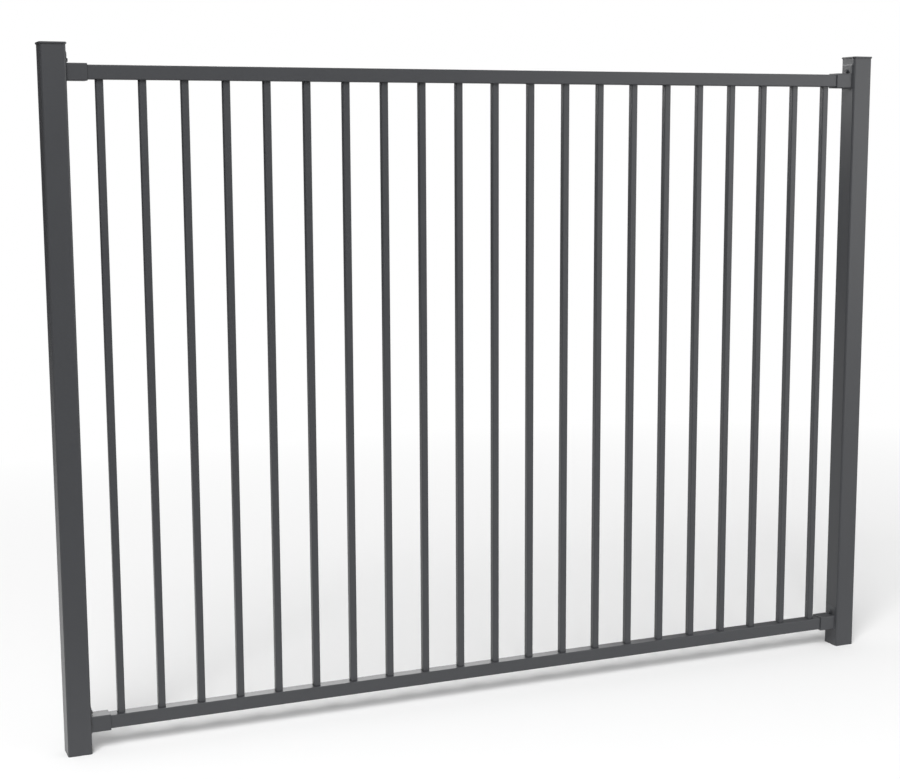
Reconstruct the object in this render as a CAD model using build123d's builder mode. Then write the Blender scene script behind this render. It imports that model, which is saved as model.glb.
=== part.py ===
"""Flat-topped steel fence panel: 21 square pickets between two rails, hung on two capped square posts.

Millimetres. X runs along the fence, +Y away from the viewer, +Z up. The origin is the centre of the
left post's foot.
"""

from build123d import *
import os

# Posts: square tube, open at the foot
post_size = 63.5
post_wall = 2.0
post_corner = 5.6
post_height = 1841.0

# Post caps: a flat plate that overhangs the post, on a skirt that fits inside the tube
cap_overhang = 2.5
cap_plate = 5.2
cap_edge = 1.0
cap_skirt_depth = 22.0
cap_skirt_wall = 2.0
cap_clearance = 0.4

# Pickets: thin square tube, evenly spaced along the rails
picket_count = 21
picket_size = 19.05
picket_wall = 1.2
picket_corner = 2.3
picket_pitch = 109.4
picket_entry = 12.0
end_gap = 75.1

# Rails: rectangular tube, punched on the side that faces the other rail
rail_height = 36.2
rail_depth = 37.0
rail_wall = 1.6
rail_corner = 2.4
bottom_rail_base = 58.7
top_rail_drop = 49.0
punch_clearance = 0.25

# Rail brackets: a cup for the rail's end on a bevelled flange that is screwed to the post
flange_width = 53.0
flange_thickness = 2.4
flange_rise = 31.8
flange_drop = 6.0
flange_corner = 4.5
flange_bevel_width = 4.0
flange_bevel_depth = 1.5
cup_length = 53.0
cup_wall = 3.4
cup_clearance = 0.4
cup_corner = 3.0
cup_edge = 0.8
rail_end_gap = 2.0
screw_rise = 11.0
screw_hole = 6.5
pilot_hole = 5.0

# Places that follow from the sizes above
first_picket_x = post_size / 2 + end_gap + picket_size / 2
picket_xs = [first_picket_x + i * picket_pitch for i in range(picket_count)]
right_post_x = picket_xs[-1] + first_picket_x
post_xs = {"left": 0.0, "right": right_post_x}
inner_sides = {"left": 1, "right": -1}
top_rail_base = post_height - top_rail_drop - rail_height
rail_bases = {"top": top_rail_base, "bottom": bottom_rail_base}
rail_start = post_size / 2 + flange_thickness + rail_end_gap
rail_length = right_post_x - 2 * rail_start
screw_heights = [base + rail_height + screw_rise for base in rail_bases.values()]

os.makedirs("parts", exist_ok=True)


def save(piece, name):
    """Labels a finished piece with its name and writes it to the parts folder."""
    piece.part.label = name
    export_step(piece.part, f"parts/{name}.step")


def tube_profile(width, depth, wall, corner):
    """Draws a hollow rectangular section with round corners on the sketch that is open."""
    RectangleRounded(width, depth, corner)
    RectangleRounded(width - 2 * wall, depth - 2 * wall, corner - wall, mode=Mode.SUBTRACT)


# Posts, with a pilot hole for each bracket's screw in the wall that faces the pickets
for side, post_x in post_xs.items():
    inner = inner_sides[side]
    inner_face = Plane(origin=(post_x + inner * post_size / 2, 0, 0), x_dir=(0, 1, 0), z_dir=(inner, 0, 0))
    with BuildPart() as post:
        with BuildSketch(Plane((post_x, 0, 0))):
            tube_profile(post_size, post_size, post_wall, post_corner)
        extrude(amount=post_height)
        with BuildSketch(inner_face):
            with Locations(*[(0, inner * z) for z in screw_heights]):
                Circle(pilot_hole / 2)
        extrude(amount=-post_wall, mode=Mode.SUBTRACT)
    save(post, f"{side}_post")

# Post caps, seated on the top ends of the posts
cap_size = post_size + 2 * cap_overhang
skirt_size = post_size - 2 * (post_wall + cap_clearance)
skirt_corner = post_corner - post_wall - cap_clearance
for side, post_x in post_xs.items():
    with BuildPart() as cap:
        with BuildSketch(Plane((post_x, 0, post_height))):
            RectangleRounded(cap_size, cap_size, post_corner + cap_overhang)
        extrude(amount=cap_plate)
        plate_faces = cap.faces().sort_by(Axis.Z)
        chamfer(plate_faces[0].edges() + plate_faces[-1].edges(), length=cap_edge)
        with BuildSketch(Plane((post_x, 0, post_height))):
            tube_profile(skirt_size, skirt_size, cap_skirt_wall, skirt_corner)
        extrude(amount=-cap_skirt_depth)
    save(cap, f"{side}_post_cap")

# Rails, each with a square hole for every picket in the wall on the pickets' side
punch_size = picket_size + 2 * punch_clearance
for level, rail_base in rail_bases.items():
    inward = 1 if level == "bottom" else -1
    rail_middle = rail_base + rail_height / 2
    punched_face = Plane(origin=(0, 0, rail_middle + inward * rail_height / 2), x_dir=(1, 0, 0), z_dir=(0, 0, inward))
    with BuildPart() as rail:
        with BuildSketch(Plane(origin=(rail_start, 0, rail_middle), x_dir=(0, 1, 0), z_dir=(1, 0, 0))):
            tube_profile(rail_depth, rail_height, rail_wall, rail_corner)
        extrude(amount=rail_length)
        with BuildSketch(punched_face):
            with Locations(*[(x, 0) for x in picket_xs]):
                Rectangle(punch_size, punch_size)
        extrude(amount=-rail_wall, mode=Mode.SUBTRACT)
    save(rail, f"{level}_rail")

# Pickets, with both ends inside the rails; the thin wall leaves the inside corners square
picket_bore = picket_size - 2 * picket_wall
picket_foot = bottom_rail_base + rail_height - rail_wall - picket_entry
picket_top = top_rail_base + rail_wall + picket_entry
for number, picket_x in enumerate(picket_xs, start=1):
    with BuildPart() as picket:
        with BuildSketch(Plane((picket_x, 0, picket_foot))):
            RectangleRounded(picket_size, picket_size, picket_corner)
            Rectangle(picket_bore, picket_bore, mode=Mode.SUBTRACT)
        extrude(amount=picket_top - picket_foot)
    save(picket, f"picket_{number:02d}")

# Rail brackets, one at each end of each rail
cup_hole_depth = rail_depth + 2 * cup_clearance
cup_hole_height = rail_height + 2 * cup_clearance
cup_depth = cup_hole_depth + 2 * cup_wall
cup_height = cup_hole_height + 2 * cup_wall
flange_height = flange_drop + rail_height + flange_rise
flange_middle = (flange_rise - flange_drop) / 2
for side, post_x in post_xs.items():
    inner = inner_sides[side]
    for level, rail_base in rail_bases.items():
        seat = (post_x + inner * post_size / 2, 0, rail_base + rail_height / 2)
        seat_plane = Plane(origin=seat, x_dir=(0, inner, 0), z_dir=(inner, 0, 0))
        outward = Axis(seat, (inner, 0, 0))
        with BuildPart() as bracket:
            with BuildSketch(seat_plane):
                with Locations((0, flange_middle)):
                    RectangleRounded(flange_width, flange_height, flange_corner)
            extrude(amount=flange_thickness)
            flange_front = bracket.faces().sort_by(outward)[-1]
            chamfer(flange_front.edges(), flange_bevel_width, flange_bevel_depth, reference=flange_front)
            with BuildSketch(seat_plane):
                RectangleRounded(cup_depth, cup_height, cup_corner)
            extrude(amount=cup_length)
            chamfer(bracket.faces().sort_by(outward)[-1].edges(), cup_edge)
            with BuildSketch(seat_plane.offset(flange_thickness)):
                RectangleRounded(cup_hole_depth, cup_hole_height, rail_corner + cup_clearance)
            extrude(amount=cup_length - flange_thickness, mode=Mode.SUBTRACT)
            with BuildSketch(seat_plane):
                with Locations((0, rail_height / 2 + screw_rise)):
                    Circle(screw_hole / 2)
            extrude(amount=flange_thickness, mode=Mode.SUBTRACT)
        save(bracket, f"{level}_{side}_bracket")
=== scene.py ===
"""Looks of a flat-topped steel fence panel: powder coat, bracket screws and the studio."""

import logging
import math
from dataclasses import dataclass, field
from enum import Enum

import bmesh
import bpy
from mathutils import Matrix, Vector


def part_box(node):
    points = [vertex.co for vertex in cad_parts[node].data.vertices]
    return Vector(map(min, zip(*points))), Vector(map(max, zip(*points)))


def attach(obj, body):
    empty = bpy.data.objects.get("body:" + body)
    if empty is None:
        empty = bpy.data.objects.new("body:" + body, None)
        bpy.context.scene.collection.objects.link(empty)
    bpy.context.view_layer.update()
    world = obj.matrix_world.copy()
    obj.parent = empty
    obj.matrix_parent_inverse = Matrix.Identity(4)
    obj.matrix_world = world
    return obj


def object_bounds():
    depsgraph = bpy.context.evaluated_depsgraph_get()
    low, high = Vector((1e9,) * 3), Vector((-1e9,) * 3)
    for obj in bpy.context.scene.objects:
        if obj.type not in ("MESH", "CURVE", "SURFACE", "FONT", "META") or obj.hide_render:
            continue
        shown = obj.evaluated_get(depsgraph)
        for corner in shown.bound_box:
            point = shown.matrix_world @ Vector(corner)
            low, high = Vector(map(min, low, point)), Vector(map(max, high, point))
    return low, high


MM = 0.001
SAME_HEIGHT = 0.01 * MM
SENSOR_MM = 36.0
HEX_SIDES = 6

# A noise texture swings about this value.
NOISE_MIDDLE = 0.5

# At this strength, white shows as white.
FULL_WHITE = 1.0

# create_grid takes half a side, so this makes a square of one metre, and lifts it onto its foot.
HALF_METRE = 0.5

# Socket numbers of a Mix node that mixes colours, and of a Mix Shader node.
MIX_FACTOR, MIX_FIRST, MIX_SECOND, MIX_RESULT = 0, 6, 7, 2
SHADER_FACTOR, SHADER_FIRST, SHADER_SECOND = 0, 1, 2

log = logging.getLogger("fence_panel")
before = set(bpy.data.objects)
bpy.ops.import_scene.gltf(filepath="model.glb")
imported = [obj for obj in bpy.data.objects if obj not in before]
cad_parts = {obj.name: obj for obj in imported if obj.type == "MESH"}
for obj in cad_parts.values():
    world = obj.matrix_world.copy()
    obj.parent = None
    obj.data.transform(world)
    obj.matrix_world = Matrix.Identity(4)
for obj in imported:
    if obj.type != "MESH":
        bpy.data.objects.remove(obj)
cad_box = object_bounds()

Colour = tuple[float, float, float]
Point = tuple[float, float, float]

WHITE = (1.0, 1.0, 1.0, 1.0)
BLACK = (0.0, 0.0, 0.0, 1.0)
CHARCOAL: Colour = (0.0415, 0.0431, 0.0469)
DARKER_CHARCOAL: Colour = (0.038, 0.0395, 0.0429)


def opaque(colour: Colour) -> tuple[float, float, float, float]:
    """The colour with full alpha."""
    return (*colour, 1.0)


def grey(level: float) -> tuple[float, float, float, float]:
    """An opaque grey of this level."""
    return opaque((level,) * 3)


class Level(Enum):
    """Which rail a bracket holds."""

    TOP = "top"
    BOTTOM = "bottom"


class Side(Enum):
    """Which post a piece belongs to; the value is the way its inner face points along X."""

    LEFT = 1
    RIGHT = -1


class Wire:
    """A number in a node tree, on which Python's operators add Math nodes."""

    def __init__(self, bench: "Bench", socket: bpy.types.NodeSocket) -> None:
        """Wraps a socket.

        Args:
            bench: the bench that owns the node tree.
            socket: the output that carries the number.
        """
        self.bench = bench
        self.socket = socket

    def _math(self, operation: str, *values: "Wire | float") -> "Wire":
        """Adds one Math node over the values and returns its result."""
        return self.bench.node("ShaderNodeMath", {"operation": operation}, dict(enumerate(values)))

    def __add__(self, other: "Wire | float") -> "Wire":
        """Sum of two values."""
        return self._math("ADD", self, other)

    __radd__ = __add__

    def __sub__(self, other: "Wire | float") -> "Wire":
        """Difference of two values."""
        return self._math("SUBTRACT", self, other)

    def __rsub__(self, other: float) -> "Wire":
        """A plain number less this value."""
        return self._math("SUBTRACT", other, self)

    def __mul__(self, other: "Wire | float") -> "Wire":
        """Product of two values."""
        return self._math("MULTIPLY", self, other)

    __rmul__ = __mul__

    def __truediv__(self, other: "Wire | float") -> "Wire":
        """Quotient of two values."""
        return self._math("DIVIDE", self, other)

    def __rtruediv__(self, other: float) -> "Wire":
        """A plain number divided by this value."""
        return self._math("DIVIDE", other, self)

    def __pow__(self, other: "Wire | float") -> "Wire":
        """This value raised to a power."""
        return self._math("POWER", self, other)

    def either(self, other: "Wire | float") -> "Wire":
        """The larger of two values."""
        return self._math("MAXIMUM", self, other)

    def falloff(self) -> "Wire":
        """How far a painted pool of light has dimmed, this many radii out: 0 in the middle, 1 far
        away.
        """
        return 1.0 - 1.0 / (self * self + 1.0)

    def hypot(self, other: "Wire") -> "Wire":
        """The long side of a right triangle with these two short sides."""
        return (self * self + other * other) ** 0.5


class Bench:
    """Adds nodes to one material's or world's tree."""

    def __init__(self, tree: bpy.types.NodeTree) -> None:
        """Clears the tree.

        Args:
            tree: the node tree to work in.
        """
        self.tree = tree
        tree.nodes.clear()

    def node(
        self,
        kind: str,
        settings: dict | None = None,
        sockets: dict | None = None,
        out: str | int = 0,
    ) -> Wire:
        """Adds one node.

        Args:
            kind: the node's type name.
            settings: properties to set before the sockets.
            sockets: socket name or number to a value or a wire.
            out: the output to return.

        Returns:
            The chosen output as a wire.
        """
        made = self.tree.nodes.new(kind)
        for name, value in (settings or {}).items():
            setattr(made, name, value)
        for name, value in (sockets or {}).items():
            if isinstance(value, Wire):
                self.tree.links.new(value.socket, made.inputs[name])
            else:
                made.inputs[name].default_value = value
        return Wire(self, made.outputs[out] if made.outputs else None)


def new_object(name: str, mesh: bmesh.types.BMesh, finish: bpy.types.Material) -> bpy.types.Object:
    """Turns a finished bmesh into an object of the scene.

    Args:
        name: the object's name.
        mesh: the bmesh, which is freed.
        finish: its one material.

    Returns:
        The object, at the origin.
    """
    data = bpy.data.meshes.new(name)
    mesh.to_mesh(data)
    mesh.free()
    data.materials.append(finish)
    made = bpy.data.objects.new(name, data)
    bpy.context.scene.collection.objects.link(made)
    return made


@dataclass(frozen=True)
class PowderCoat:
    """Satin powder coat over steel, with a faint drift in tone and a fine orange-peel skin."""

    name: str
    colour: Colour
    roughness: float = 0.35
    refraction: float = 1.46
    tone_drift: float = 0.05
    roughness_drift: float = 0.05
    drift_size_m: float = 0.25
    drift_detail: float = 3.0
    peel_size_m: float = 0.0022
    peel_detail: float = 2.0
    peel_depth_m: float = 0.000012

    def build(self) -> bpy.types.Material:
        """Makes the material.

        Returns:
            The finished material.
        """
        material = bpy.data.materials.new(self.name)
        material.use_nodes = True
        bench = Bench(material.node_tree)
        place = bench.node("ShaderNodeTexCoord", out="Object")
        drift = bench.node(
            "ShaderNodeTexNoise",
            sockets={"Vector": place, "Scale": 1 / self.drift_size_m, "Detail": self.drift_detail},
        )
        peel = bench.node(
            "ShaderNodeTexNoise",
            sockets={"Vector": place, "Scale": 1 / self.peel_size_m, "Detail": self.peel_detail},
        )
        dark = tuple(c * (1 - self.tone_drift) for c in self.colour)
        light = tuple(c * (1 + self.tone_drift) for c in self.colour)
        colour = bench.node(
            "ShaderNodeMix",
            {"data_type": "RGBA"},
            {MIX_FACTOR: drift, MIX_FIRST: opaque(dark), MIX_SECOND: opaque(light)},
            out=MIX_RESULT,
        )
        skin = bench.node("ShaderNodeBump", sockets={"Height": peel, "Distance": self.peel_depth_m})
        coat = bench.node(
            "ShaderNodeBsdfPrincipled",
            sockets={
                "Base Color": colour,
                "Roughness": self.roughness + self.roughness_drift * (drift - NOISE_MIDDLE),
                "IOR": self.refraction,
                "Normal": skin,
            },
        )
        bench.node("ShaderNodeOutputMaterial", sockets={"Surface": coat})
        return material


@dataclass(frozen=True)
class StudioPaper:
    """White floor paper with two pools of light painted into its colour.

    For the camera it fades into the white surround. For every other ray, mirrored or bounced, its
    colour is painted darker, towards black, away from the painted pools: one round the fence, which
    reaches further behind it than in front, and a round one at painted_pool_centre.
    """

    name: str = "floor_paper"
    whiteness: float = 0.9
    fade_start_m: float = 0.1
    fade_end_m: float = 4.2
    # Sizes of the two painted pools of light; away from them the floor's colour is painted darker.
    painted_pool_falloff_m: float = 3.8
    painted_pool_front_share: float = 0.24
    painted_pool_centre: Point = (4.3, -2.7, 0.0)
    painted_pool_radius_m: float = 2.8

    def build(self, left: float, right: float) -> bpy.types.Material:
        """Makes the material.

        Args:
            left: where the fence's foot line starts along X.
            right: where it ends.

        Returns:
            The finished material.
        """
        material = bpy.data.materials.new(self.name)
        material.use_nodes = True
        bench = Bench(material.node_tree)
        place = bench.node("ShaderNodeTexCoord", out="Object")
        along = bench.node("ShaderNodeSeparateXYZ", sockets={"Vector": place}, out="X")
        across = bench.node("ShaderNodeSeparateXYZ", sockets={"Vector": place}, out="Y")
        held = bench.node("ShaderNodeClamp", sockets={"Value": along, "Min": left, "Max": right})
        beyond = along - held
        reach = beyond.hypot(across)
        fade = bench.node(
            "ShaderNodeMapRange",
            {"interpolation_type": "LINEAR"},
            {"Value": reach, "From Min": self.fade_start_m, "From Max": self.fade_end_m},
        )
        seen = bench.node("ShaderNodeLightPath", out="Is Camera Ray")
        # Painted shade: the distance from the fence line and from the side pool sets how far the
        # paper is mixed towards black.
        stretched = across.either(across * (-1.0 / self.painted_pool_front_share))
        fence_pool_reach = beyond.hypot(stretched) / self.painted_pool_falloff_m
        distance_to_painted_pool = bench.node(
            "ShaderNodeVectorMath",
            {"operation": "DISTANCE"},
            {0: place, 1: self.painted_pool_centre},
            out="Value",
        )
        painted_side_reach = distance_to_painted_pool / self.painted_pool_radius_m
        # Painted light falloff: for every ray but the camera's, the paper's colour goes towards
        # black away from the painted pools.
        painted_dimming = fence_pool_reach.falloff() * painted_side_reach.falloff() * (1.0 - seen)
        paper = bench.node("ShaderNodeBsdfDiffuse", sockets={"Color": grey(self.whiteness)})
        painted_black = bench.node("ShaderNodeBsdfDiffuse", sockets={"Color": BLACK})
        glow = bench.node("ShaderNodeEmission", sockets={"Color": WHITE, "Strength": FULL_WHITE})
        pool = bench.node(
            "ShaderNodeMixShader",
            sockets={SHADER_FACTOR: painted_dimming, SHADER_FIRST: paper, SHADER_SECOND: painted_black},
        )
        mixed = bench.node(
            "ShaderNodeMixShader",
            sockets={SHADER_FACTOR: fade * seen, SHADER_FIRST: pool, SHADER_SECOND: glow},
        )
        bench.node("ShaderNodeOutputMaterial", sockets={"Surface": mixed})
        return material


@dataclass
class BracketScrew:
    """A hex washer-head screw that holds one bracket's flange to its post."""

    level: Level
    side: Side
    finish: bpy.types.Material
    washer_radius: float = 6.8 * MM
    washer_thickness: float = 1.3 * MM
    washer_edge: float = 0.4 * MM
    hex_across_flats: float = 9.5 * MM
    hex_height: float = 4.4 * MM
    hex_edge: float = 0.5 * MM
    dimple_rim: float = 1.2 * MM
    dimple_depth: float = 0.6 * MM
    edge_segments: int = 3
    shank_radius: float = 3.1 * MM
    shank_tip_share: float = 0.35
    shank_length: float = 19.0 * MM
    shank_rings: int = 32
    screw_rise: float = 11.0 * MM
    flange_thickness: float = 2.4 * MM
    rings: int = 48

    @property
    def name(self) -> str:
        """The piece's name."""
        return f"{self.level.value}_{self.side.name.lower()}_screw"

    def _seat(self) -> Matrix:
        """Finds where the screw's underside sits: on the flange, above its cup.

        Returns:
            The place, with local +Z pointing out of the flange.
        """
        post_low, post_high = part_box(f"{self.side.name.lower()}_post")
        _, rail_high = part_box(f"{self.level.value}_rail")
        face_x = post_high.x if self.side is Side.LEFT else post_low.x
        seat_x = face_x + self.side.value * self.flange_thickness
        turn = Matrix.Rotation(math.radians(90 * self.side.value), 4, "Y")
        return Matrix.Translation((seat_x, 0.0, rail_high.z + self.screw_rise)) @ turn

    def _washer(self, mesh: bmesh.types.BMesh) -> None:
        """Adds the round washer face with a softened upper edge.

        Args:
            mesh: the screw's mesh.
        """
        middle = Matrix.Translation((0, 0, self.washer_thickness / 2))
        made = bmesh.ops.create_cone(
            mesh,
            cap_ends=True,
            segments=self.rings,
            radius1=self.washer_radius,
            radius2=self.washer_radius,
            depth=self.washer_thickness,
            matrix=middle,
        )
        self._soften_top(mesh, made["verts"], self.washer_thickness, self.washer_edge)

    def _head(self, mesh: bmesh.types.BMesh) -> None:
        """Adds the six-sided head with softened top corners and a pressed dimple.

        Args:
            mesh: the screw's mesh.
        """
        corner_radius = self.hex_across_flats / 2 / math.cos(math.pi / HEX_SIDES)
        top = self.washer_thickness + self.hex_height
        middle = Matrix.Translation((0, 0, self.washer_thickness + self.hex_height / 2))
        made = bmesh.ops.create_cone(
            mesh,
            cap_ends=True,
            segments=HEX_SIDES,
            radius1=corner_radius,
            radius2=corner_radius,
            depth=self.hex_height,
            matrix=middle,
        )
        self._soften_top(mesh, made["verts"], top, self.hex_edge)
        upper = [f for f in mesh.faces if abs(f.calc_center_median().z - top) < SAME_HEIGHT]
        crown = max(upper, key=lambda f: f.calc_area())
        bmesh.ops.inset_individual(mesh, faces=[crown], thickness=self.dimple_rim, depth=0.0)
        bmesh.ops.inset_individual(
            mesh, faces=[crown], thickness=self.dimple_depth, depth=-self.dimple_depth
        )

    def _shank(self, mesh: bmesh.types.BMesh) -> None:
        """Adds the shank, through the flange and the post's wall.

        Args:
            mesh: the screw's mesh.
        """
        middle = Matrix.Translation((0, 0, -self.shank_length / 2))
        bmesh.ops.create_cone(
            mesh,
            cap_ends=True,
            segments=self.shank_rings,
            radius1=self.shank_radius * self.shank_tip_share,
            radius2=self.shank_radius,
            depth=self.shank_length,
            matrix=middle,
        )

    def _soften_top(
        self,
        mesh: bmesh.types.BMesh,
        corners: list[bmesh.types.BMVert],
        height: float,
        width: float,
    ) -> None:
        """Bevels the edges that lie at one height.

        Args:
            mesh: the mesh to work on.
            corners: the vertices of the shape.
            height: the height of the edges to bevel.
            width: the bevel's width.
        """
        top = {v for v in corners if abs(v.co.z - height) < SAME_HEIGHT}
        rim = [e for e in mesh.edges if e.verts[0] in top and e.verts[1] in top]
        bmesh.ops.bevel(
            mesh,
            geom=rim,
            offset=width,
            affect="EDGES",
            segments=self.edge_segments,
            profile=0.5,
            material=-1,
        )

    def build(self) -> bpy.types.Object:
        """Makes the screw in its place.

        Returns:
            The finished piece.
        """
        mesh = bmesh.new()
        self._head(mesh)
        self._washer(mesh)
        self._shank(mesh)
        bmesh.ops.transform(mesh, matrix=self._seat(), verts=mesh.verts)
        bmesh.ops.recalc_face_normals(mesh, faces=mesh.faces)
        screw = new_object(self.name, mesh, self.finish)
        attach(screw, "root")
        return screw


@dataclass
class Panel:
    """The fence panel's own pieces: the built nodes in their finishes, and the screws."""

    tube_coat: PowderCoat = PowderCoat("powder_coat_tube", CHARCOAL)
    bracket_coat: PowderCoat = PowderCoat("powder_coat_bracket", CHARCOAL)
    cap_coat: PowderCoat = PowderCoat("powder_coat_cap", CHARCOAL)
    screw_coat: PowderCoat = PowderCoat("powder_coat_screw", DARKER_CHARCOAL)
    pieces: list[bpy.types.Object] = field(default_factory=list)

    def dress(self) -> None:
        """Gives every built node its finish."""
        coats = (self.tube_coat, self.bracket_coat, self.cap_coat)
        tube, bracket, cap = (coat.build() for coat in coats)
        for name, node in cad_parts.items():
            if name.endswith("_cap"):
                finish = cap
            elif name.endswith("_bracket"):
                finish = bracket
            else:
                finish = tube
            for slot in node.material_slots:
                slot.material = finish
            self.pieces.append(node)

    def add_screws(self) -> None:
        """Puts one screw on each bracket."""
        finish = self.screw_coat.build()
        for level in Level:
            for side in Side:
                self.pieces.append(BracketScrew(level, side, finish).build())


@dataclass(frozen=True)
class Softbox:
    """A flat rectangular lamp, out of the camera's sight; some show only in reflections."""

    name: str
    place: Point
    aim: Point
    width: float
    height: float
    level: float
    reflections_only: bool = False

    def build(self) -> bpy.types.Object:
        """Makes the lamp, turned so that its width lies level.

        Returns:
            The lamp.
        """
        data = bpy.data.lights.new(self.name, "AREA")
        data.shape = "RECTANGLE"
        data.size, data.size_y = self.width, self.height
        data.energy = self.level * math.pi * self.width * self.height
        lamp = bpy.data.objects.new(self.name, data)
        lamp.location = self.place
        beam = Vector(self.aim) - Vector(self.place)
        lamp.rotation_euler = beam.to_track_quat("-Z", "Y").to_euler()
        lamp.visible_camera = False
        lamp.visible_diffuse = not self.reflections_only
        bpy.context.scene.collection.objects.link(lamp)
        return lamp


@dataclass(frozen=True)
class DarkBoard:
    """A dark upright board, seen only in reflections, where it hides the white surround."""

    name: str
    foot: Point
    facing_deg: float
    width: float
    height: float

    def build(self, finish: bpy.types.Material) -> bpy.types.Object:
        """Makes the board.

        Args:
            finish: the board's dark cloth.

        Returns:
            The board.
        """
        mesh = bmesh.new()
        bmesh.ops.create_grid(mesh, size=HALF_METRE)
        stand = (
            Matrix.Translation(self.foot)
            @ Matrix.Rotation(math.radians(self.facing_deg), 4, "Z")
            @ Matrix.Diagonal((self.width, 1.0, self.height, 1.0))
            @ Matrix.Translation((0.0, 0.0, HALF_METRE))
            @ Matrix.Rotation(math.radians(90), 4, "X")
        )
        bmesh.ops.transform(mesh, matrix=stand, verts=mesh.verts)
        board = new_object(self.name, mesh, finish)
        for unseen in ("camera", "diffuse", "transmission", "volume_scatter", "shadow"):
            setattr(board, f"visible_{unseen}", False)
        return board


@dataclass(frozen=True)
class PhotoCamera:
    """The camera that took the picture, worked out from the fence's own edges."""

    place: Point = (-0.6963, -4.2322, 1.5996)
    heading_deg: float = 22.68
    tilt_deg: float = 8.60
    roll_deg: float = -0.246
    lens_mm: float = 65.81
    clip_end_m: float = 100.0

    def build(self) -> bpy.types.Object:
        """Makes the camera and gives it to the scene.

        Returns:
            The camera.
        """
        data = bpy.data.cameras.new("photo_camera")
        data.sensor_width = SENSOR_MM
        data.lens = self.lens_mm
        data.clip_end = self.clip_end_m
        camera = bpy.data.objects.new("photo_camera", data)
        camera.matrix_world = (
            Matrix.Translation(self.place)
            @ Matrix.Rotation(-math.radians(self.heading_deg), 4, "Z")
            @ Matrix.Rotation(math.radians(90 - self.tilt_deg), 4, "X")
            @ Matrix.Rotation(math.radians(self.roll_deg), 4, "Z")
        )
        bpy.context.scene.collection.objects.link(camera)
        bpy.context.scene.camera = camera
        return camera


@dataclass
class Studio:
    """White floor and surround, soft lamps, and dark boards behind, in front and on the left."""

    floor_reach_m: float = 24.0
    ambient: float = 0.525
    board_grey: float = 0.01
    paper: StudioPaper = StudioPaper()
    lamps: tuple[Softbox, ...] = (
        Softbox("key_softbox", (-4.2, -8.0, 9.6), (1.9, 0.0, 0.1), 6.1, 6.4, 13.1),
        Softbox("front_softbox", (0.9, -8.5, 3.2), (0.9, 0.0, 1.6), 5.0, 2.4, 1.25, True),
        Softbox("back_softbox", (4.4, 10.5, 5.9), (4.4, 0.0, 0.9), 6.1, 5.1, 4.35, True),
        Softbox("left_back_softbox", (-7.6, 9.5, 4.4), (1.2, 0.0, 0.9), 7.0, 4.5, 1.5, True),
        Softbox("near_back_softbox", (1.05, 2.5, 2.58), (2.4, 0.0, 1.8), 0.75, 1.45, 6.7, True),
        Softbox("low_back_softbox", (0.85, 2.5, 0.45), (2.4, 0.0, 0.5), 1.5, 0.9, 0.45, True),
        Softbox("right_softbox", (9.3, -7.0, 1.6), (1.6, 0.0, 0.9), 7.8, 3.0, 2.4),
    )
    boards: tuple[DarkBoard, ...] = (
        DarkBoard("back_board", (0.0, 12.3, 0.0), 0.0, 30.0, 9.0),
        DarkBoard("right_back_board", (9.6, 7.8, 0.0), 0.0, 8.0, 5.0),
        DarkBoard("front_board", (-1.5, -9.0, 0.0), 0.0, 14.0, 5.0),
        DarkBoard("left_board", (-8.5, -1.0, 0.0), 90.0, 17.0, 8.0),
        DarkBoard("left_post_flag", (-0.95, 1.3, 1.2), 0.0, 1.7, 2.6),
    )

    def build_floor(self) -> bpy.types.Object:
        """Makes the floor.

        Returns:
            The floor.
        """
        low, high = cad_box
        middle = Vector(((low.x + high.x) / 2, (low.y + high.y) / 2, 0.0))
        mesh = bmesh.new()
        bmesh.ops.create_grid(mesh, size=self.floor_reach_m, matrix=Matrix.Translation(middle))
        floor = new_object("studio_floor", mesh, self.paper.build(low.x, high.x))
        return floor

    def build_surround(self) -> bpy.types.World:
        """Makes the surround: white where it is seen, mirrored or seen through, ambient elsewhere.

        Returns:
            The world.
        """
        world = bpy.data.worlds.new("studio_surround")
        world.use_nodes = True
        bench = Bench(world.node_tree)
        seen = bench.node("ShaderNodeLightPath", out="Is Camera Ray")
        mirrored = bench.node("ShaderNodeLightPath", out="Is Glossy Ray")
        through = bench.node("ShaderNodeLightPath", out="Is Transmission Ray")
        light, backdrop = (
            bench.node("ShaderNodeBackground", sockets={"Color": WHITE, "Strength": strength})
            for strength in (self.ambient, FULL_WHITE)
        )
        shown = seen.either(mirrored).either(through)
        mixed = bench.node(
            "ShaderNodeMixShader",
            sockets={SHADER_FACTOR: shown, SHADER_FIRST: light, SHADER_SECOND: backdrop},
        )
        bench.node("ShaderNodeOutputWorld", sockets={"Surface": mixed})
        bpy.context.scene.world = world
        return world

    def build_boards(self) -> None:
        """Makes the dark boards in one cloth."""
        cloth = bpy.data.materials.new("dark_board_cloth")
        cloth.use_nodes = True
        bench = Bench(cloth.node_tree)
        matt = bench.node("ShaderNodeBsdfDiffuse", sockets={"Color": grey(self.board_grey)})
        bench.node("ShaderNodeOutputMaterial", sockets={"Surface": matt})
        for board in self.boards:
            board.build(cloth)

    def build(self) -> None:
        """Makes the floor, the surround, the boards and the lamps."""
        self.build_floor()
        self.build_surround()
        self.build_boards()
        for lamp in self.lamps:
            lamp.build()


def main() -> None:
    """Builds the camera, the panel's looks and the studio, and reports each piece."""
    logging.basicConfig(level=logging.INFO, format="%(name)s: %(message)s")
    bpy.context.scene.view_settings.view_transform = "Standard"
    PhotoCamera().build()
    panel = Panel()
    panel.dress()
    panel.add_screws()
    Studio().build()
    for piece in panel.pieces:
        log.info("%s in %s", piece.name, piece.material_slots[0].material.name)


if __name__ == "__main__":
    main()
